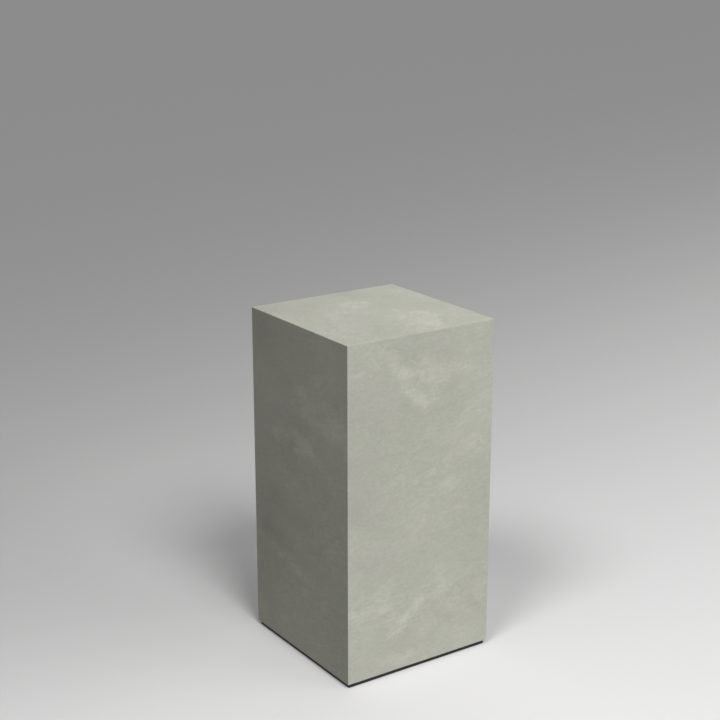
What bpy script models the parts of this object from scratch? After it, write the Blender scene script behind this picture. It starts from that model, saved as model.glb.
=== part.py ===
"""A display plinth: a hollow box, skimmed all over and open below, on a set-in black base frame.

Metres, +Z up. The origin is on the floor, under the middle of the plinth.
"""

import bmesh
import bpy

# The box
BODY_WIDTH = 0.300  # along X
BODY_DEPTH = 0.300  # along Y
BODY_HEIGHT = 0.600  # from the lower edge to the top face
SIDE_WALL = 0.020  # board and skim together
TOP_WALL = 0.020
ARRIS = 0.0012  # how far back the skimmed edges are rounded
ARRIS_STEPS = 3

# The base frame, which shows as a dark line under the box
REVEAL_HEIGHT = 0.008  # from the floor to the box
REVEAL_DEPTH = 0.004  # how far the frame stands in from the box's faces
BASE_LEDGE = 0.024  # how far the frame reaches in past the inner faces of the walls
BASE_CHAMFER = 0.0005

# The box stands on the frame with this much between the two solids
SEAT_GAP = 0.0003

# Linear colours and roughness of the two finishes
SKIM_COLOUR = (0.430, 0.435, 0.370)
SKIM_ROUGHNESS = 0.62
BLACK_COLOUR = (0.012, 0.012, 0.011)
BLACK_ROUGHNESS = 0.55


def clear_scene():
    """Removes whatever the file holds."""
    for item in list(bpy.data.objects):
        bpy.data.objects.remove(item)


def make_finish(name, colour, roughness):
    """A plain material of one colour and one roughness."""
    material = bpy.data.materials.new(name)
    material.use_nodes = True
    material.diffuse_color = (*colour, 1.0)
    shader = material.node_tree.nodes["Principled BSDF"]
    shader.inputs["Base Color"].default_value = (*colour, 1.0)
    shader.inputs["Roughness"].default_value = roughness
    shader.inputs["Metallic"].default_value = 0.0
    return material


def standing_box(width, depth, height):
    """A box centred on the Z axis, standing on z = 0."""
    shape = bmesh.new()
    bmesh.ops.create_cube(shape, size=1.0)
    bmesh.ops.scale(shape, vec=(width, depth, height), verts=shape.verts)
    bmesh.ops.translate(shape, vec=(0.0, 0.0, height / 2), verts=shape.verts)
    return shape


def ease_edges(shape, corners, width, steps):
    """Rounds the edges that run between the given corners, or chamfers them with a single step."""
    edges = [edge for edge in shape.edges if corners.issuperset(edge.verts)]
    bmesh.ops.bevel(
        shape,
        geom=edges,
        offset=width,
        offset_type="OFFSET",
        segments=steps,
        profile=0.5,
        affect="EDGES",
        clamp_overlap=True,
        material=-1,
    )


def inset(shape, faces, margin):
    """Draws each face in from its edges, by the same true distance on every side."""
    bmesh.ops.inset_individual(shape, faces=faces, thickness=margin, use_even_offset=True)


def hollow_from_below(shape, side_wall, height):
    """Sinks a recess up into the underside, and leaves a wall of side_wall round it."""
    underside = min(shape.faces, key=lambda face: face.calc_center_median().z)
    inset(shape, [underside], side_wall)
    ceiling = bmesh.ops.extrude_discrete_faces(shape, faces=[underside])["faces"][0]
    bmesh.ops.translate(shape, vec=(0.0, 0.0, height), verts=ceiling.verts)


def open_through(shape, rail):
    """Opens the box from top to bottom, and leaves a rail of the given width all round."""
    ends = [face for face in shape.faces if abs(face.normal.z) > 0.5]
    inset(shape, ends, rail)
    rims = [edge for face in ends for edge in face.edges]
    bmesh.ops.delete(shape, geom=ends, context="FACES_ONLY")
    bmesh.ops.bridge_loops(shape, edges=rims)


def make_object(name, shape, material, height):
    """Turns a shape into an object that stands at the given height."""
    bmesh.ops.recalc_face_normals(shape, faces=shape.faces)
    mesh = bpy.data.meshes.new(name)
    shape.to_mesh(mesh)
    shape.free()
    mesh.materials.append(material)
    item = bpy.data.objects.new(name, mesh)
    item.location.z = height
    bpy.context.scene.collection.objects.link(item)
    return item


def make_body():
    """The box: four walls and a top in one, open below."""
    shape = standing_box(BODY_WIDTH, BODY_DEPTH, BODY_HEIGHT)
    corners = set(shape.verts)
    hollow_from_below(shape, SIDE_WALL, BODY_HEIGHT - TOP_WALL)
    ease_edges(shape, corners, ARRIS, ARRIS_STEPS)
    finish = make_finish("mineral_skim", SKIM_COLOUR, SKIM_ROUGHNESS)
    return make_object("body", shape, finish, REVEAL_HEIGHT)


def make_base():
    """The base: a flat frame under the walls, which it carries on their whole width but the reveal."""
    width = BODY_WIDTH - 2 * REVEAL_DEPTH
    depth = BODY_DEPTH - 2 * REVEAL_DEPTH
    shape = standing_box(width, depth, REVEAL_HEIGHT - SEAT_GAP)
    corners = set(shape.verts)
    open_through(shape, SIDE_WALL - REVEAL_DEPTH + BASE_LEDGE)
    ease_edges(shape, corners, BASE_CHAMFER, 1)
    finish = make_finish("black_base", BLACK_COLOUR, BLACK_ROUGHNESS)
    return make_object("base", shape, finish, 0.0)


def main():
    """Builds the plinth, with both pieces under one empty on the floor."""
    clear_scene()
    plinth = bpy.data.objects.new("plinth", None)
    bpy.context.scene.collection.objects.link(plinth)
    for piece in (make_body(), make_base()):
        piece.parent = plinth


main()
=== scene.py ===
# %% [markdown]
# # A skimmed display plinth
#
# The plinth is a square box, twice as high as it is wide. Its boards are glued up and then skimmed
# all over with a thin coat of coloured mineral plaster, so that no joint shows. It stands on a black
# frame that is set in a little, and all that shows of the frame is a dark line above the floor.
#
# The exact solids are loaded first, as a fixed frame. Everything below is fitted to them.

# %% Load the solids
import math

import bmesh
import bpy
import numpy as np
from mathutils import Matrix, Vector, noise


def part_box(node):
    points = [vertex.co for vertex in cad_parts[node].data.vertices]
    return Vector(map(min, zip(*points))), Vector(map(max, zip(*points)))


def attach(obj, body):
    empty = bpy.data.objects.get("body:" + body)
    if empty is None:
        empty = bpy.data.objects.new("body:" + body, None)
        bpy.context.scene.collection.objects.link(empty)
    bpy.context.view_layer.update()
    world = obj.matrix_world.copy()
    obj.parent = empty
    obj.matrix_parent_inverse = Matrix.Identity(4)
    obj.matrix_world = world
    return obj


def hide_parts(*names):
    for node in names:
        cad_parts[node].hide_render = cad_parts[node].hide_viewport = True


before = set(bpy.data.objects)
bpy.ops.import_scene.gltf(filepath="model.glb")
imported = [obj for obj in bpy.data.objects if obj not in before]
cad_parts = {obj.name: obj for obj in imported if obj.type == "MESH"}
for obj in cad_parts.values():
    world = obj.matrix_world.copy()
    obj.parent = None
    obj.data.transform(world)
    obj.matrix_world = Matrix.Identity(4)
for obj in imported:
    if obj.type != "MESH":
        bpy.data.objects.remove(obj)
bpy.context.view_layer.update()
body_low, body_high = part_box("body")
base_low, base_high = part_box("base")
print("box, in mm:", [round(side * 1000, 1) for side in body_high - body_low])
print("base, in mm:", [round(side * 1000, 1) for side in base_high - base_low])

# %% [markdown]
# ## The camera
#
# A square box seen from one corner tells where the camera stood: its upright edges lean together,
# and its level edges run to two vanishing points. The seven corners that show were measured on the
# photograph, and the camera below puts all of them back within half a pixel. It is a long lens,
# 2.5 m away across the floor and 1.26 m above it, with no shift.

# %% Place the camera
CAMERA_PLACE = Vector((-1.4112, -2.0388, 1.2641))
CAMERA_TURN = math.radians(55.76)  # from +X towards +Y
CAMERA_TILT = math.radians(16.64)  # below the horizon
LENS = 74.64  # focal length in mm
SENSOR = 36.0  # width in mm
SIGHT = 200.0  # how far the camera sees, in m


def place_camera():
    """Places a camera that looks along its turn and tilt."""
    lens = bpy.data.cameras.new("camera")
    lens.lens = LENS
    lens.sensor_width = SENSOR
    lens.clip_end = SIGHT
    camera = bpy.data.objects.new("camera", lens)
    camera.location = CAMERA_PLACE
    camera.rotation_euler = (math.pi / 2 - CAMERA_TILT, 0.0, CAMERA_TURN - math.pi / 2)
    bpy.context.scene.collection.objects.link(camera)
    bpy.context.scene.camera = camera


place_camera()
print("camera stands", round(math.hypot(*CAMERA_PLACE.xy), 2), "m from the plinth's axis")

# %% [markdown]
# ## A short way to write shader maths
#
# A finish is worked out from many small patterns that are added and multiplied. Written node by
# node that is hard to read, so one class wraps a socket and turns +, -, *, / and ** into Math
# nodes.


# %% Sockets that can be used in sums
class Signal:
    """One output socket. Sums of signals and numbers add Math nodes."""

    def __init__(self, finish, socket):
        self.finish = finish
        self.socket = socket

    def maths(self, operation, first, second):
        return self.finish.node("ShaderNodeMath", {"operation": operation}, {0: first, 1: second})

    def __add__(self, other):
        return self.maths("ADD", self, other)

    def __radd__(self, other):
        return self.maths("ADD", other, self)

    def __sub__(self, other):
        return self.maths("SUBTRACT", self, other)

    def __rsub__(self, other):
        return self.maths("SUBTRACT", other, self)

    def __mul__(self, other):
        return self.maths("MULTIPLY", self, other)

    def __rmul__(self, other):
        return self.maths("MULTIPLY", other, self)

    def __truediv__(self, other):
        return self.maths("DIVIDE", self, other)

    def __rtruediv__(self, other):
        return self.maths("DIVIDE", other, self)

    def __pow__(self, other):
        return self.maths("POWER", self, other)

    def __neg__(self):
        return self.maths("MULTIPLY", self, -1.0)

    def above(self, start, end):
        """0 up to start, 1 from end, and a soft step between."""
        settings = {"interpolation_type": "SMOOTHSTEP"}
        values = {"Value": self, "From Min": start, "From Max": end}
        return self.finish.node("ShaderNodeMapRange", settings, values)


print("sums of sockets: ready")

# %% [markdown]
# ## One finish and its nodes
#
# A second class holds one finish. It makes any other node from its type, its settings and its
# values, and has a short name for each kind of pattern and mixture that the finishes share.

# %% A finish and its nodes
MIX_FACTOR, MIX_BELOW, MIX_OVER, MIX_RESULT = 0, 6, 7, 2  # the Mix node's sockets for colours


def linear(red, green, blue):
    """A colour as it shows on a screen, from 0 to 255, in the linear numbers that shaders take."""
    shares = (channel / 255 for channel in (red, green, blue))
    return tuple(s / 12.92 if s <= 0.04045 else ((s + 0.055) / 1.055) ** 2.4 for s in shares)


class Finish:
    """A material with one Principled shader, and the nodes that feed it."""

    def __init__(self, name, **constants):
        self.material = bpy.data.materials.new(name)
        self.material.use_nodes = True
        self.tree = self.material.node_tree
        self.shader = self.tree.nodes["Principled BSDF"]
        for socket, value in constants.items():
            self.feed(self.shader.inputs[socket.replace("_", " ")], value)

    def node(self, kind, settings=None, values=None, out=0):
        """A new node. Its settings come first, because some of them change its sockets."""
        made = self.tree.nodes.new(kind)
        for name, setting in (settings or {}).items():
            setattr(made, name, setting)
        for name, value in (values or {}).items():
            self.feed(made.inputs[name], value)
        return Signal(self, made.outputs[out])

    def feed(self, socket, value):
        """Links a signal to a socket, or sets the socket to a plain value."""
        if isinstance(value, Signal):
            self.tree.links.new(value.socket, socket)
        elif socket.type == "RGBA" and len(value) == 3:
            socket.default_value = (*value, 1.0)
        else:
            socket.default_value = value

    def pattern(self, place, scale, detail=3.0, roughness=0.5, distortion=0.0):
        """Soft noise between about -1 and 1."""
        values = {
            "Vector": place,
            "Scale": scale,
            "Detail": detail,
            "Roughness": roughness,
            "Distortion": distortion,
        }
        return (self.node("ShaderNodeTexNoise", {}, values) - 0.5) * 2.0

    def stretched(self, place, turn, along, across):
        """Coordinates turned in their plane, then scaled along and across the new direction."""
        values = {"Vector": place, "Rotation": (0.0, 0.0, turn)}
        turned = self.node("ShaderNodeMapping", {"vector_type": "POINT"}, values)
        values = {0: turned, 1: (along, across, 1.0)}
        return self.node("ShaderNodeVectorMath", {"operation": "MULTIPLY"}, values)

    def mixed(self, factor, below, over):
        """One colour over another."""
        values = {MIX_FACTOR: factor, MIX_BELOW: below, MIX_OVER: over}
        return self.node("ShaderNodeMix", {"data_type": "RGBA"}, values, MIX_RESULT)

    def dimmed(self, colour, share):
        """A colour times a number."""
        return self.node("ShaderNodeVectorMath", {"operation": "SCALE"}, {0: colour, "Scale": share})

    def mark(self, name):
        """One of the values that the mesh carries at its points."""
        return self.node("ShaderNodeAttribute", {"attribute_name": name}, out="Fac")

    def bumped(self, height, strength, distance):
        """The surface's direction, tilted by a height map. The distance is in m."""
        values = {"Strength": strength, "Distance": distance, "Height": height}
        return self.node("ShaderNodeBump", {}, values)

    def set(self, socket, signal):
        self.feed(self.shader.inputs[socket], signal)


print("finishes and their nodes: ready")

# %% [markdown]
# ## The box
#
# The skim hides the boards, so the box is modelled as the one piece that it has become: four walls
# and a top, open below. A cube is drawn to the solid's size, its underside is inset by the wall and
# pushed up to make the hollow, and the outer edges are beveled. A trowelled edge is never knife
# sharp, because the plasterer runs a damp sponge along it.

# %% Shape the box
WALL = 0.020  # 18 mm board and 2 mm skim
ARRIS = 0.0006  # how far back the outer edges are rounded
ARRIS_STEPS = 3


def plain_box(low, high):
    """A bmesh box between two corners."""
    shape = bmesh.new()
    bmesh.ops.create_cube(shape, size=1.0)
    bmesh.ops.scale(shape, vec=high - low, verts=shape.verts)
    bmesh.ops.translate(shape, vec=(low + high) / 2, verts=shape.verts)
    return shape


def hollow_box(low, high, wall, arris, steps):
    """A box with a recess from below, and rounded outer edges."""
    shape = plain_box(low, high)
    corners = set(shape.verts)
    underside = min(shape.faces, key=lambda face: face.calc_center_median().z)
    bmesh.ops.inset_individual(shape, faces=[underside], thickness=wall, use_even_offset=True)
    ceiling = bmesh.ops.extrude_discrete_faces(shape, faces=[underside])["faces"][0]
    bmesh.ops.translate(shape, vec=(0.0, 0.0, high.z - low.z - wall), verts=ceiling.verts)
    edges = [edge for edge in shape.edges if corners.issuperset(edge.verts)]
    bmesh.ops.bevel(
        shape,
        geom=edges,
        offset=arris,
        offset_type="OFFSET",
        segments=steps,
        profile=0.5,
        affect="EDGES",
        clamp_overlap=True,
        material=-1,
    )
    bmesh.ops.recalc_face_normals(shape, faces=shape.faces)
    return shape


box = hollow_box(body_low, body_high, WALL, ARRIS, ARRIS_STEPS)
print("box:", len(box.verts), "points,", len(box.faces), "faces")

# %% [markdown]
# ## A fine net of faces
#
# The skim isn't perfectly flat: each pass of the trowel leaves the coat a little thicker or thinner.
# To carry that, the outer faces need many points. The long edges that run along one axis are cut
# together, which splits every face between them into strips, and doing so for all three axes makes
# an even net. The hollow keeps its large flat faces.

# %% Cut the outer faces into a net
NET = 0.004  # side of one mesh of the net
LONG = 0.2  # edges longer than this are cut


def outside(point):
    """True for a point of the outer skin, and False for one of the hollow."""
    inner_low, inner_high = body_low + Vector((WALL,) * 3), body_high - Vector((WALL,) * 3)
    reach = ARRIS / 2
    return (
        not inner_low.x - reach < point.x < inner_high.x + reach
        or not inner_low.y - reach < point.y < inner_high.y + reach
        or point.z > inner_high.z + reach
    )


def cut_along(shape, axis):
    """Cuts the long outer edges that run along one axis."""
    edges = []
    for edge in shape.edges:
        start, end = (vert.co for vert in edge.verts)
        if abs((end - start)[axis]) > LONG and outside(start) and outside(end):
            edges.append(edge)
    length = edges[0].calc_length()
    bmesh.ops.subdivide_edges(shape, edges=edges, cuts=round(length / NET) - 1, use_grid_fill=True)


for axis in (2, 0, 1):
    cut_along(box, axis)
print("net:", len(box.verts), "points,", len(box.faces), "faces")

# %% [markdown]
# ## The hand of the plasterer
#
# The coat is drawn out in short, nearly level sweeps of a steel trowel. Where the plaster was
# wetter, the sweep dries paler and warmer, and where the trowel was pressed harder, it dries
# darker and cooler. These sweeps are the soft clouds that show on the plinth. Each one is kept
# as a line with a width, a shade and a warmth, in metres on its own face. Those that show most in
# the photograph are listed one by one, and the rest are drawn at random from a fixed seed. Under
# them lie broad soft tones, an eighth paler or darker at most, where the coat is a little thicker
# or thinner. Some of the listed tones are painted shade instead: they darken the left face towards
# its far edge, and the top towards the corner above that edge.

# %% The faces and their sweeps
HALF = body_high.x  # half the box's width
X, Y, Z = Vector((1, 0, 0)), Vector((0, 1, 0)), Vector((0, 0, 1))
FACES = {  # outward, level and rising directions as seen from outside, and the slant of the trowel's drag
    "right": (-Y, X, Z, 5),
    "left": (-X, -Y, Z, 9),
    "top": (Z, X, Y, 52),
    "far_right": (X, Y, Z, -6),
    "far_left": (Y, -X, Z, 4),
}

SWEEPS = [  # face, (start, middle, end) in m, half width in m, shade, warmth
    ("right", ((-0.054, 0.548), (-0.036, 0.520), (-0.006, 0.490)), 0.018, 0.85, 0.20),
    ("right", ((-0.010, 0.490), (0.010, 0.482), (0.030, 0.482)), 0.014, 0.80, 0.15),
    ("right", ((-0.048, 0.540), (-0.020, 0.548), (0.010, 0.544)), 0.016, 0.20, 0.20),
    ("right", ((0.022, 0.530), (0.080, 0.528), (0.150, 0.512)), 0.016, 0.40, 0.45),
    ("right", ((0.040, 0.504), (0.052, 0.505), (0.062, 0.500)), 0.010, -0.60, -0.10),
    ("right", ((0.088, 0.440), (0.112, 0.450), (0.136, 0.440)), 0.018, 0.60, 0.40),
    ("right", ((0.102, 0.400), (0.120, 0.396), (0.138, 0.386)), 0.016, 0.30, 0.60),
    ("right", ((-0.040, 0.578), (0.010, 0.572), (0.054, 0.566)), 0.020, -0.50, -1.00),
    ("right", ((-0.140, 0.540), (-0.105, 0.510), (-0.070, 0.490)), 0.040, -0.20, -1.00),
    ("right", ((-0.140, 0.552), (-0.122, 0.556), (-0.104, 0.550)), 0.008, 0.60, -0.20),
    ("right", ((0.080, 0.496), (0.110, 0.490), (0.144, 0.482)), 0.014, 0.50, 0.20),
    ("right", ((-0.150, 0.430), (-0.125, 0.380), (-0.120, 0.320)), 0.040, -0.30, -0.75),
    ("right", ((-0.050, 0.350), (-0.010, 0.345), (0.040, 0.350)), 0.034, 0.30, 0.00),
    ("right", ((-0.120, 0.222), (-0.108, 0.216), (-0.096, 0.218)), 0.014, -0.90, 0.00),
    ("right", ((-0.078, 0.188), (-0.064, 0.186), (-0.054, 0.182)), 0.008, 0.70, 0.50),
    ("right", ((-0.148, 0.146), (-0.110, 0.140), (-0.064, 0.148)), 0.030, 0.50, 0.00),
    ("right", ((0.038, 0.180), (0.046, 0.162), (0.050, 0.146)), 0.014, 0.60, 0.00),
    ("right", ((-0.064, 0.080), (-0.040, 0.094), (-0.006, 0.122)), 0.010, 0.90, 0.50),
    ("right", ((-0.074, 0.120), (-0.060, 0.118), (-0.046, 0.110)), 0.014, 0.30, 0.80),
    ("right", ((0.112, 0.100), (0.122, 0.092), (0.130, 0.086)), 0.013, -0.90, 0.40),
    ("right", ((0.036, 0.106), (0.042, 0.094), (0.060, 0.082)), 0.010, -0.70, 0.50),
    ("right", ((-0.108, 0.056), (-0.068, 0.050), (-0.030, 0.056)), 0.022, -0.30, -0.90),
    ("right", ((-0.040, 0.026), (-0.030, 0.028), (-0.020, 0.036)), 0.010, 0.70, 0.00),
    ("right", ((0.056, 0.056), (0.066, 0.050), (0.082, 0.040)), 0.015, 0.65, -0.50),
    ("left", ((-0.150, 0.600), (-0.120, 0.560), (-0.090, 0.520)), 0.060, -0.60, -0.90),
    ("left", ((-0.060, 0.580), (0.020, 0.572), (0.140, 0.560)), 0.034, -0.40, -0.60),
    ("left", ((0.000, 0.490), (0.070, 0.478), (0.150, 0.452)), 0.022, 0.90, 0.20),
    ("left", ((0.030, 0.456), (0.090, 0.446), (0.150, 0.424)), 0.018, 0.70, 0.20),
    ("left", ((-0.070, 0.400), (-0.020, 0.414), (0.040, 0.396)), 0.014, 0.80, 0.20),
    ("left", ((0.000, 0.384), (0.050, 0.382), (0.100, 0.362)), 0.016, 0.60, 0.20),
    ("left", ((-0.036, 0.450), (-0.010, 0.446), (0.004, 0.436)), 0.014, -0.60, 0.00),
    ("left", ((-0.150, 0.430), (-0.120, 0.330), (-0.110, 0.200)), 0.060, -0.50, -0.90),
    ("left", ((-0.080, 0.280), (-0.030, 0.262), (0.020, 0.256)), 0.022, -0.50, 0.00),
    ("left", ((0.126, 0.350), (0.138, 0.356), (0.150, 0.364)), 0.005, 1.00, 0.20),
    ("left", ((0.108, 0.497), (0.114, 0.494), (0.120, 0.494)), 0.008, -0.90, 0.00),
    ("left", ((-0.140, 0.110), (-0.110, 0.070), (-0.100, 0.030)), 0.034, -0.50, -0.70),
    ("left", ((0.000, 0.160), (0.060, 0.110), (0.120, 0.060)), 0.060, 0.30, 0.10),
    ("top", ((0.010, -0.140), (0.045, -0.085), (0.075, -0.045)), 0.044, 0.60, 0.20),
    ("top", ((0.040, -0.006), (0.052, -0.020), (0.072, -0.046)), 0.012, 0.60, 0.30),
    ("top", ((-0.020, 0.020), (0.000, 0.046), (0.014, 0.070)), 0.020, 0.25, 0.20),
    ("top", ((0.030, 0.140), (0.060, 0.110), (0.095, 0.080)), 0.030, -0.60, 0.00),
    ("top", ((-0.070, -0.110), (-0.055, -0.095), (-0.040, -0.070)), 0.012, -0.60, 0.00),
    ("top", ((0.085, -0.120), (0.105, -0.080), (0.130, -0.040)), 0.018, -0.40, 0.00),
    ("top", ((-0.140, 0.090), (-0.100, 0.110), (-0.070, 0.140)), 0.024, -0.30, -0.50),
    ("top", ((-0.140, -0.070), (-0.080, 0.000), (-0.010, 0.060)), 0.040, 0.00, 0.70),
]

TONES_AND_PAINTED_SHADE = [  # face, middle in m, reach in m, how much paler in hundredths
    ("right", (-0.140, 0.420), 0.120, -4.5),
    ("right", (-0.020, 0.590), 0.050, -4.0),
    ("right", (-0.030, 0.558), 0.030, -4.0),
    ("right", (0.000, 0.425), 0.050, -4.0),
    ("right", (0.140, 0.470), 0.060, 6.0),
    ("right", (0.120, 0.290), 0.055, -3.0),
    ("right", (0.000, 0.310), 0.050, 3.0),
    ("right", (0.050, 0.170), 0.035, 4.5),
    ("right", (0.060, 0.120), 0.030, -3.0),
    ("right", (-0.130, 0.110), 0.055, 4.0),
    ("right", (-0.110, 0.020), 0.040, 3.0),
    ("right", (0.090, 0.015), 0.050, 7.0),
    # painted shade: together the left face's tones darken it towards its far edge and pale it near its
    # front edge
    ("left", (-0.150, 0.220), 0.130, -10.0),
    ("left", (-0.120, 0.580), 0.045, -8.0),
    ("left", (-0.080, 0.500), 0.035, 8.0),
    ("left", (-0.045, 0.400), 0.050, -9.0),
    ("left", (0.130, 0.570), 0.070, 8.0),
    ("left", (0.130, 0.420), 0.080, 8.0),
    ("left", (-0.040, 0.210), 0.050, -2.0),
    ("left", (0.060, 0.230), 0.040, -7.0),
    ("left", (-0.110, 0.110), 0.050, -6.0),
    ("left", (0.060, 0.030), 0.060, 5.0),
    # painted shade: together the top's tones darken it towards the corner above the left face's far edge
    ("top", (-0.145, 0.135), 0.060, -12.0),
    ("top", (-0.120, 0.070), 0.050, -4.0),
    ("top", (-0.140, -0.080), 0.040, -4.0),
    ("top", (0.040, 0.095), 0.030, -6.0),
    ("top", (0.145, 0.060), 0.050, 6.0),
    ("top", (0.145, -0.060), 0.050, 6.0),
    ("top", (0.030, -0.095), 0.050, 6.0),
    ("top", (0.040, -0.040), 0.030, 5.0),
    ("top", (0.110, -0.130), 0.050, 4.0),
]


# What the random sweeps and tones are drawn from, in m and radians
HALF_LENGTHS, HALF_WIDTHS = (0.02, 0.09), (0.010, 0.034)
SIDE_LEAN, TOP_LEAN, LEAN_SPREAD = 0.05, 0.6, 0.25
MOST_BOW = 0.3  # as a share of the half length
SHADE_SPREAD, WARMTH_SPREAD = 0.32, 0.45
TONE_REACHES, TONE_SPREAD = (0.04, 0.10), 4.0


def random_sweeps(seed, per_face):
    """More sweeps on every face, nearly level on the sides and slanting on the top."""
    chance = np.random.default_rng(seed)
    made = []
    for face in FACES:
        low, high, lean_middle = 0.0, body_high.z, SIDE_LEAN
        if face == "top":
            low, high, lean_middle = -HALF, HALF, TOP_LEAN
        for _ in range(per_face):
            middle = np.array([chance.uniform(-HALF, HALF), chance.uniform(low, high)])
            lean = chance.normal(lean_middle, LEAN_SPREAD)
            half_length = chance.uniform(*HALF_LENGTHS)
            step = np.array([math.cos(lean), math.sin(lean)]) * half_length
            bow = np.array([-step[1], step[0]]) * chance.uniform(-MOST_BOW, MOST_BOW)
            line = (tuple(middle - step), tuple(middle + bow), tuple(middle + step))
            half_width = chance.uniform(*HALF_WIDTHS)
            dark_or_light = chance.normal(0, SHADE_SPREAD)
            cool_or_warm = chance.normal(0, WARMTH_SPREAD)
            made.append((face, line, half_width, dark_or_light, cool_or_warm))
    return made


def random_tones(seed, per_face):
    """Broad tones for the two faces that the photograph doesn't show."""
    chance = np.random.default_rng(seed)
    made = []
    for face in ("far_right", "far_left"):
        for _ in range(per_face):
            middle = (chance.uniform(-HALF, HALF), chance.uniform(0.0, body_high.z))
            made.append((face, middle, chance.uniform(*TONE_REACHES), chance.normal(0, TONE_SPREAD)))
    return made


sweeps = SWEEPS + random_sweeps(seed=7, per_face=26)
tones_and_painted_shade = TONES_AND_PAINTED_SHADE + random_tones(seed=3, per_face=12)
print(len(SWEEPS), "sweeps by hand and", len(sweeps) - len(SWEEPS), "at random")
print(len(TONES_AND_PAINTED_SHADE), "tones by hand and", len(tones_and_painted_shade) - len(TONES_AND_PAINTED_SHADE), "at random")

# %% [markdown]
# ## From sweeps to points
#
# Every point of the net finds how near it lies to each sweep on its face. A sweep is strongest
# along its line and fades out a little past its width. Before that, the points are shifted by a
# slow noise and a fast one, so that no edge of a sweep is straight. That noise starts from a fixed
# seed, because it would otherwise differ from run to run. The sums become three attributes, shade,
# warmth, and tone with its painted shade, that the finish reads.

# %% Measure shade and warmth at each point
WANDER_SEED = 5
WANDER, WANDER_SIZE = 0.010, 0.045  # how far points are shifted, over what distance
FRAY, FRAY_SIZE = 0.004, 0.013  # the same for the fast noise
FADE = 1.5  # a sweep fades out at this many half widths from its line


def face_of(point):
    """The name of the face that a point of the skin lies on or nearest to."""
    centre = (body_low + body_high) / 2
    size = (body_high - body_low) / 2
    away = [abs(point[axis] - centre[axis]) - size[axis] for axis in range(3)]
    axis = away.index(max(away))
    if axis == 2:
        return "top" if point.z > centre.z else "under"
    names = {(0, True): "far_right", (0, False): "left", (1, True): "far_left", (1, False): "right"}
    return names[axis, point[axis] > centre[axis]]


def wandered(point):
    """A point, shifted by a slow noise and a fast one."""
    slow = noise.noise_vector(point / WANDER_SIZE) * WANDER
    fast = noise.noise_vector(point / FRAY_SIZE) * FRAY
    return point + slow + fast


def nearness(places, line, limit):
    """How near places lie to a line through three points: 1 on it, 0 from the limit on."""
    gaps = []
    points = np.array(line)
    for start, end in zip(points[:-1], points[1:]):
        run = end - start
        share = np.clip(((places - start) @ run) / (run @ run), 0.0, 1.0)
        gaps.append(np.linalg.norm(places - start - share[:, None] * run, axis=1))
    near = np.clip(1.0 - np.min(gaps, axis=0) / limit, 0.0, 1.0)
    return near * near * (3.0 - 2.0 * near)


def measure_sweeps(points):
    """Each point's shade, warmth, and tone with its painted shade."""
    owner = np.array([face_of(point) for point in points])
    shifted = [wandered(point) for point in points]
    shade, warmth, tone_and_painted_shade = (np.zeros(len(points)) for _ in range(3))
    for face, (_, level, rise, _) in FACES.items():
        mine = np.flatnonzero(owner == face)
        places = np.array([(shifted[i].dot(level), shifted[i].dot(rise)) for i in mine])
        for owner_face, line, half_width, dark_or_light, cool_or_warm in sweeps:
            if owner_face == face:
                near = nearness(places, line, half_width * FADE)
                shade[mine] += near * dark_or_light
                warmth[mine] += near * cool_or_warm
        # The broad tones, some of them painted shade on the left face and the top, add to each point.
        for owner_face, middle, reach, paler in tones_and_painted_shade:
            if owner_face == face:
                away = np.linalg.norm(places - np.array(middle), axis=1) / reach
                tone_and_painted_shade[mine] += np.exp(-away * away) * paler / 100
    return shade, warmth, tone_and_painted_shade


noise.seed_set(WANDER_SEED)
shade, warmth, tone_and_painted_shade = measure_sweeps([vert.co.copy() for vert in box.verts])
marks = {"shade": shade, "warmth": warmth, "tone_and_painted_shade": tone_and_painted_shade}
for name, values in marks.items():
    print(name, "from", values.min().round(2), "to", values.max().round(2))

# %% [markdown]
# ## Real relief
#
# Light that grazes a wall shows that it isn't dead flat. The points of the skin are pushed in, never
# out, by up to a third of a millimetre: a slow swell from the coat's thickness, a finer ripple, and
# a shallow dish along each pale sweep. Finer marks than the net can hold are left to the finish.

# %% Push the skin in
SWELL, SWELL_SIZE = 0.00022, 0.075  # how deep, over what distance
RIPPLE, RIPPLE_SIZE = 0.00006, 0.018
DISH = 0.00003  # for a sweep of full shade


def relief(point, sweep_shade):
    """How far in a point of the skin lies."""
    swell = (noise.noise(point / SWELL_SIZE) + 1.0) / 2 * SWELL
    ripple = (noise.noise(point / RIPPLE_SIZE) + 1.0) / 2 * RIPPLE
    return swell + ripple + DISH * min(max(sweep_shade + 1.0, 0.0), 2.0) / 2


box.normal_update()
for vert, sweep_shade in zip(box.verts, shade):
    if outside(vert.co):
        vert.co -= vert.normal * relief(vert.co, sweep_shade)
deepest = SWELL + RIPPLE + DISH
print("relief of up to", round(deepest * 1000, 2), "mm")

# %% [markdown]
# ## Coordinates for the finish
#
# Each face was worked by itself, so its fine marks don't run round the corner. A UV map gives each
# face its own flat coordinates in metres, a metre apart from the next, so that the same noise gives
# five different faces. The hollow gets its own stretch of the map and the second finish.

# %% Make the mesh
FACE_SPACING = 1.0
SKIM_SLOT, BOARD_SLOT = 0, 1
SHARP_ANGLE = math.radians(40)  # edges that turn by more than this are shaded as edges


def flat_place(point, normal, inner):
    """A point's coordinates on its face. The hollow's faces come after the outer ones."""
    names = list(FACES)
    best = max(names, key=lambda name: FACES[name][0].dot(normal))
    _, level, rise, slant = FACES[best]
    along, up = point.dot(level), point.dot(rise)
    cosine, sine = math.cos(math.radians(slant)), math.sin(math.radians(slant))
    spacing = FACE_SPACING * (names.index(best) + 1 + len(FACES) * inner)
    return spacing + along * cosine + up * sine, up * cosine - along * sine


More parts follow.
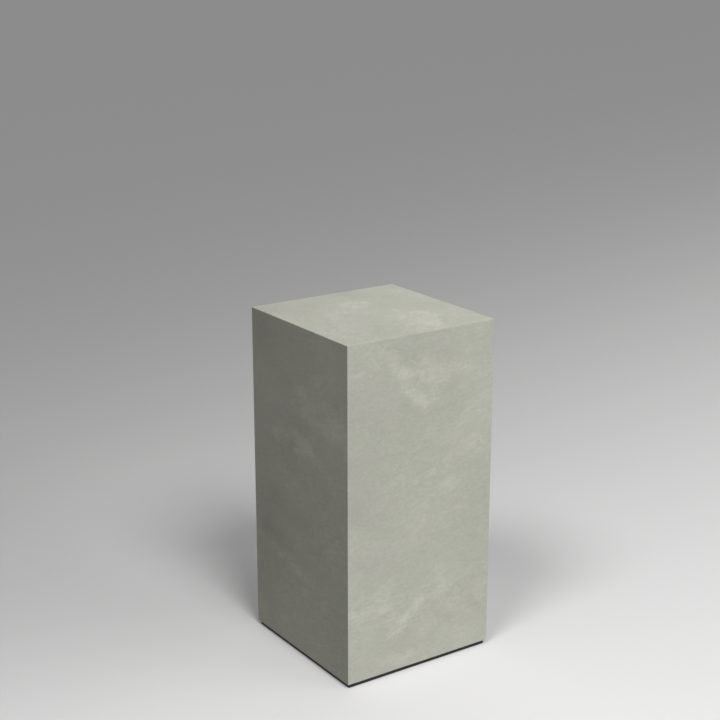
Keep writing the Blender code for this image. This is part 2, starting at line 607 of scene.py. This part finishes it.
def skim_mesh(shape):
    """The finished mesh, with its two finishes, its map and its attributes."""
    atlas = shape.loops.layers.uv.new("faces")
    for face in shape.faces:
        inner = not all(outside(vert.co) for vert in face.verts)
        face.material_index = BOARD_SLOT if inner else SKIM_SLOT
        for loop in face.loops:
            loop[atlas].uv = flat_place(loop.vert.co, face.normal, inner)
    mesh = bpy.data.meshes.new("skimmed_box")
    shape.to_mesh(mesh)
    for name, values in marks.items():
        attribute = mesh.attributes.new(name, "FLOAT", "POINT")
        attribute.data.foreach_set("value", values.astype(np.float32))
    return mesh


skimmed_box = bpy.data.objects.new("skimmed_box", skim_mesh(box))
bpy.context.scene.collection.objects.link(skimmed_box)
skimmed_box.data.shade_smooth()
skimmed_box.data.set_sharp_from_angle(angle=SHARP_ANGLE)
skimmed_box.modifiers.new("even_shading", "WEIGHTED_NORMAL").keep_sharp = True
box.free()
print("skimmed box:", len(skimmed_box.data.polygons), "faces")

# %% [markdown]
# ## The mineral skim
#
# The coat is a matt grey-green with a hint of warmth. Three colours make it: the green-grey of most
# of the coat, a neutral violet-grey where it was pressed, and a warm cream where it dried pale. They
# differ by very little. The sweeps' warmth and a slow and a fine noise choose between them. The
# edges of a sweep are torn: noise is added to its soft strength before the step, so that flecks of
# it lie outside and gaps inside. Over that go broad clouds, a fine mottle and speckle, level drag
# lines and a sandy grain.

# %% Mix the skim's colours
GREEN_GREY = linear(174.2, 176.2, 163.2)
VIOLET_GREY = linear(175.6, 175.0, 164.6)
CREAM = linear(179.5, 178.8, 166.6)

# How fine each pattern is, in waves to a metre
CLOUDS, MOTTLE, SPECKLE, GRAIN = 7.0, 60.0, 210.0, 480.0
DRAG_ALONG, DRAG_ACROSS, DRAGGED_AREAS = 14.0, 150.0, 11.0
CLOUD_DRAW = 0.62  # clouds, mottle and speckle are drawn out along the trowel's way

# How much each mark does to the coat's lightness
LIGHTNESS, PALE_SWEEP, DARK_SWEEP = 0.975, 0.16, 0.13
CLOUD_SHARE, MOTTLE_SHARE, SPECKLE_SHARE, DRAG_SHARE, GRAIN_SHARE = 0.09, 0.15, 0.16, 0.11, 0.08

SKIM_ROUGHNESS = 0.62
SKIM_BUMP, SKIM_BUMP_HEIGHT = 0.25, 0.0002


def skim_finish():
    """The coloured coat on every outer face."""
    finish = Finish("skim_coat", Specular_IOR_Level=0.3)
    place = finish.node("ShaderNodeUVMap", {"uv_map": "faces"})
    sweep_shade, sweep_warmth, tone_and_painted_shade = (finish.mark(name) for name in ("shade", "warmth", "tone_and_painted_shade"))
    drawn = finish.stretched(place, 0.0, CLOUD_DRAW, 1.0)
    lines = finish.stretched(place, 0.0, DRAG_ALONG, DRAG_ACROSS)

    clouds = finish.pattern(drawn, CLOUDS, detail=9.0, roughness=0.66, distortion=0.5)
    mottle = finish.pattern(drawn, MOTTLE, detail=5.0, roughness=0.8, distortion=0.8)
    speckle = finish.pattern(drawn, SPECKLE, detail=3.0, roughness=0.8, distortion=0.6)
    drag = finish.pattern(lines, 1.0, detail=5.0, roughness=0.7)
    dragged = finish.pattern(place, DRAGGED_AREAS, detail=3.0).above(-0.25, 0.35)
    grain = finish.pattern(place, GRAIN, detail=2.0, roughness=0.7)

    tear = clouds * 0.5 + mottle * 0.9 + drag * 0.4
    pale = (sweep_shade + tear).above(0.0, 1.5)
    dark = (tear - sweep_shade).above(0.0, 1.5)
    tint = sweep_warmth * 0.8 + clouds * 0.9 + mottle * 1.5

    colour = finish.mixed(tint.above(0.1, 0.9), GREEN_GREY, CREAM)
    colour = finish.mixed((-tint).above(0.0, 0.8), colour, VIOLET_GREY)
    # The broad tones, some of them painted shade on the left face and the top, go into the lightness
    # here.
    light = LIGHTNESS + tone_and_painted_shade + pale * PALE_SWEEP - dark * DARK_SWEEP + clouds * CLOUD_SHARE
    light = light + mottle * MOTTLE_SHARE + speckle * SPECKLE_SHARE
    light = light + drag * dragged * DRAG_SHARE + grain * GRAIN_SHARE
    finish.set("Base Color", finish.dimmed(colour, light))

    finish.set("Roughness", SKIM_ROUGHNESS + mottle * 0.08 + drag * 0.06 - pale * 0.05)
    height = drag * dragged * 0.5 + mottle * 0.4 + grain * 0.2
    finish.set("Normal", finish.bumped(height, SKIM_BUMP, SKIM_BUMP_HEIGHT))
    return finish.material


skimmed_box.data.materials.append(skim_finish())
print("outside:", skimmed_box.data.materials[SKIM_SLOT].name)

# %% [markdown]
# ## The raw board inside
#
# Nobody skims the inside. The hollow shows the bare board that the box is glued up from: a brown
# fibre board, even in colour, with short fibres and a few darker flecks.

# %% Mix the board
BOARD_BROWN = linear(150, 122, 92)
FIBRE_TURN = 0.4  # in radians
FIBRE_ALONG, FIBRE_ACROSS = 160.0, 520.0  # waves to a metre
BOARD_MOTTLE, FLECKS = 12.0, 300.0
BOARD_ROUGHNESS = 0.82
FIBRE_BUMP, FIBRE_BUMP_HEIGHT = 0.4, 0.0003


def board_finish():
    """The bare fibre board of the hollow and of the edge that stands on the base."""
    finish = Finish("raw_board", Specular_IOR_Level=0.2)
    place = finish.node("ShaderNodeUVMap", {"uv_map": "faces"})
    combed = finish.stretched(place, FIBRE_TURN, FIBRE_ALONG, FIBRE_ACROSS)
    fibres = finish.pattern(combed, 1.0, detail=4.0, roughness=0.7)
    mottle = finish.pattern(place, BOARD_MOTTLE, detail=4.0)
    flecks = finish.pattern(place, FLECKS, detail=1.0).above(0.45, 0.6)
    light = 1.0 + fibres * 0.10 + mottle * 0.08 - flecks * 0.18
    finish.set("Base Color", finish.dimmed(BOARD_BROWN, light))
    finish.set("Roughness", BOARD_ROUGHNESS + fibres * 0.08)
    finish.set("Normal", finish.bumped(fibres, FIBRE_BUMP, FIBRE_BUMP_HEIGHT))
    return finish.material


skimmed_box.data.materials.append(board_finish())
print("inside:", skimmed_box.data.materials[BOARD_SLOT].name)

# %% [markdown]
# ## The black base
#
# The base is a flat frame of black laminate. Its solid has the right shape, so it stays and only
# gets its finish: a fine pebbled face, with soft patches of dust that are greyer and duller.

# %% Dress the base
LAMINATE_BLACK, DUST_GREY = linear(20, 20, 19), linear(70, 69, 66)
PEBBLES, DUST_PATCHES = 700.0, 40.0  # waves to a metre
DUST_COVER = 0.25  # how much of the dust's colour shows where it lies thickest
LAMINATE_ROUGHNESS = 0.55
PEBBLE_BUMP, PEBBLE_BUMP_HEIGHT = 0.3, 0.0002


def base_finish():
    """Black laminate."""
    finish = Finish("black_laminate", Specular_IOR_Level=0.4)
    place = finish.node("ShaderNodeTexCoord", out="Object")
    pebble = finish.pattern(place, PEBBLES, detail=2.0)
    dust = finish.pattern(place, DUST_PATCHES, detail=5.0, roughness=0.65).above(0.1, 0.9)
    finish.set("Base Color", finish.mixed(dust * DUST_COVER, LAMINATE_BLACK, DUST_GREY))
    finish.set("Roughness", LAMINATE_ROUGHNESS + dust * 0.25 + pebble * 0.05)
    finish.set("Normal", finish.bumped(pebble, PEBBLE_BUMP, PEBBLE_BUMP_HEIGHT))
    return finish.material


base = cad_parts["base"]
base.data.materials.clear()
base.data.materials.append(base_finish())
print("base wears", base.data.materials[0].name)

# %% [markdown]
# ## The floor
#
# The studio has a pale floor that runs on far behind the plinth. Its colour carries a painted pool
# of light: a broad band, palest in front of the plinth and on its right, that falls off into grey
# behind it. The floor throws no light back onto the plinth, because its dark left face shows almost none.

# %% Lay the floor
FLOOR_SIDE = 80.0  # in m
# The pale band is a painted pool of light in the floor's colour; the numbers below shape it.
BAND_TURN = math.radians(70.27)  # turns the pale band's length onto the second axis
BAND_NARROWING = 0.1383  # how much its length is scaled down, so that the band becomes round
BAND_MIDDLE = (1.0446, -2.2222, 0.0)  # after turning and scaling
BAND_REACH, BAND_EDGE = 1.9436, 5.0  # how far it reaches, and how fast it ends
FAR_SHADE, PAINTED_POOL_LIGHT = 0.2376, 1.6056  # the floor far away, and what the band adds
PALEST = 0.82
WHITE = (1.0, 1.0, 1.0)


def lay_floor():
    """Lays a plain floor whose colour carries a painted pool of light in front of the plinth, darker in
    the distance.
    """
    shape = bmesh.new()
    bmesh.ops.create_grid(shape, x_segments=1, y_segments=1, size=FLOOR_SIDE / 2)
    mesh = bpy.data.meshes.new("floor")
    shape.to_mesh(mesh)
    shape.free()
    floor = bpy.data.objects.new("floor", mesh)
    bpy.context.scene.collection.objects.link(floor)
    finish = Finish("floor_with_painted_light", Roughness=1.0, Specular_IOR_Level=0.0)
    place = finish.node("ShaderNodeTexCoord", out="Object")
    values = {0: finish.stretched(place, BAND_TURN, 1.0, BAND_NARROWING), 1: BAND_MIDDLE}
    distance = finish.node("ShaderNodeVectorMath", {"operation": "DISTANCE"}, values, out="Value")
    # painted light: the band's pool of light is added to the floor's colour here
    shade = PAINTED_POOL_LIGHT / (1.0 + (distance / BAND_REACH) ** BAND_EDGE) + FAR_SHADE
    shade = shade.maths("MINIMUM", shade, PALEST)
    finish.set("Base Color", finish.dimmed(WHITE, shade))
    mesh.materials.append(finish.material)
    floor.visible_diffuse = False


lay_floor()
print("floor:", FLOOR_SIDE, "m wide")

# %% [markdown]
# ## The light
#
# The light is soft. A key light and a low one, both to the right of the camera, light the right
# face. One from the left lights the left face, and a weak one from behind keeps the far faces from
# going black. Each is a far light with a wide disc, so that shadows stay soft. Beyond the floor
# hangs an even grey backdrop.

# %% Hang the lights
LEFT_TINT = (1.02, 1.0, 1.0)
BACKDROP = 0.257  # as bright as the floor far away, so that the two meet without an edge


def hang_light(name, turn, rise, spread, strength):
    """A broad soft light from far away, placed by its direction. Angles are in degrees."""
    turn, rise = math.radians(turn), math.radians(rise)
    away = Vector((math.cos(turn) * math.cos(rise), math.sin(turn) * math.cos(rise), math.sin(rise)))
    lamp = bpy.data.lights.new(name, "SUN")
    lamp.angle = math.radians(spread)
    lamp.energy = strength
    light = bpy.data.objects.new(name, lamp)
    light.rotation_euler = away.to_track_quat("Z", "Y").to_euler()
    bpy.context.scene.collection.objects.link(light)
    return light


def hang_backdrop(level):
    """Hangs an even grey that is only seen beyond the floor, and lights nothing."""
    world = bpy.data.worlds.new("backdrop")
    world.use_nodes = True
    background = world.node_tree.nodes["Background"]
    background.inputs["Color"].default_value = (*WHITE, 1.0)
    background.inputs["Strength"].default_value = level
    world.cycles_visibility.diffuse = False
    world.cycles_visibility.glossy = False
    bpy.context.scene.world = world


key = hang_light("key", turn=262, rise=47, spread=24, strength=2.295)
left = hang_light("left", turn=202, rise=54, spread=20, strength=1.375)
left.data.color = LEFT_TINT
low = hang_light("low", turn=311, rise=12, spread=60, strength=2.1)
back = hang_light("back", turn=60, rise=20, spread=60, strength=0.46)
hang_backdrop(BACKDROP)
bpy.context.scene.view_settings.view_transform = "Standard"
print("lights:", [light.name for light in (key, left, low, back)])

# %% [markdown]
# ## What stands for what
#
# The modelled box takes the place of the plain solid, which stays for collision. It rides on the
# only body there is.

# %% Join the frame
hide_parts("body")
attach(skimmed_box, "root")
